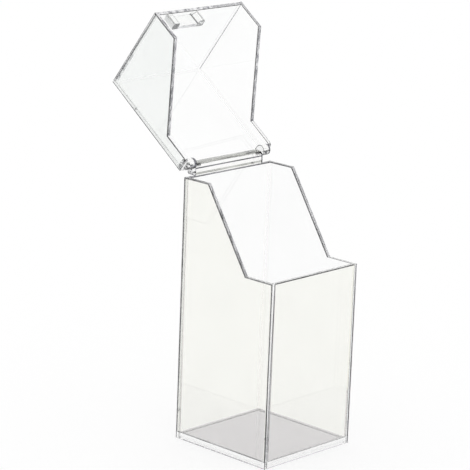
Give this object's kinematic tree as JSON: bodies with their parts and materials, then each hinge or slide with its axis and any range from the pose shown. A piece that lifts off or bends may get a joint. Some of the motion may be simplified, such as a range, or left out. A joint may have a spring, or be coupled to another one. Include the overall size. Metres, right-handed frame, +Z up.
{
  "type": "brush holder",
  "caption": "Tall square brush holder of clear acrylic sheet, higher at the rear, with sloping sides and a matching flip lid hinged behind the rear wall's top.",
  "frame": {"origin": "centre of the square the box stands on, at the underside of its walls", "axes": "+Z up, -Y towards the low front wall, +X to the right of someone facing the front; the hinge runs along X"},
  "size_m": [0.09, 0.1672, 0.3112],
  "materials": {
    "clear_acrylic": "polished clear acrylic sheet",
    "pin_steel": "bright drawn steel pin"
  },
  "bodies": {
    "holder": {"floor_plate": "clear_acrylic", "left_side_wall": "clear_acrylic", "right_side_wall": "clear_acrylic", "front_wall": "clear_acrylic", "rear_wall": "clear_acrylic", "hinge_bar": "clear_acrylic"},
    "lid": {"lid_top_panel": "clear_acrylic", "lid_front_panel": "clear_acrylic", "lid_left_panel": "clear_acrylic", "lid_right_panel": "clear_acrylic", "lid_pull": "clear_acrylic", "hinge_ear_left": "clear_acrylic", "hinge_ear_right": "clear_acrylic", "hinge_pin_left": "pin_steel", "hinge_pin_right": "pin_steel"}
  },
  "joints": [
    {"name": "lid_hinge", "type": "hinge", "parent": "holder", "child": "lid", "pos_m": [0, 0.0462, 0.2036], "axis": [1, 0, 0], "range_deg": [0, 143.5]}
  ]
}
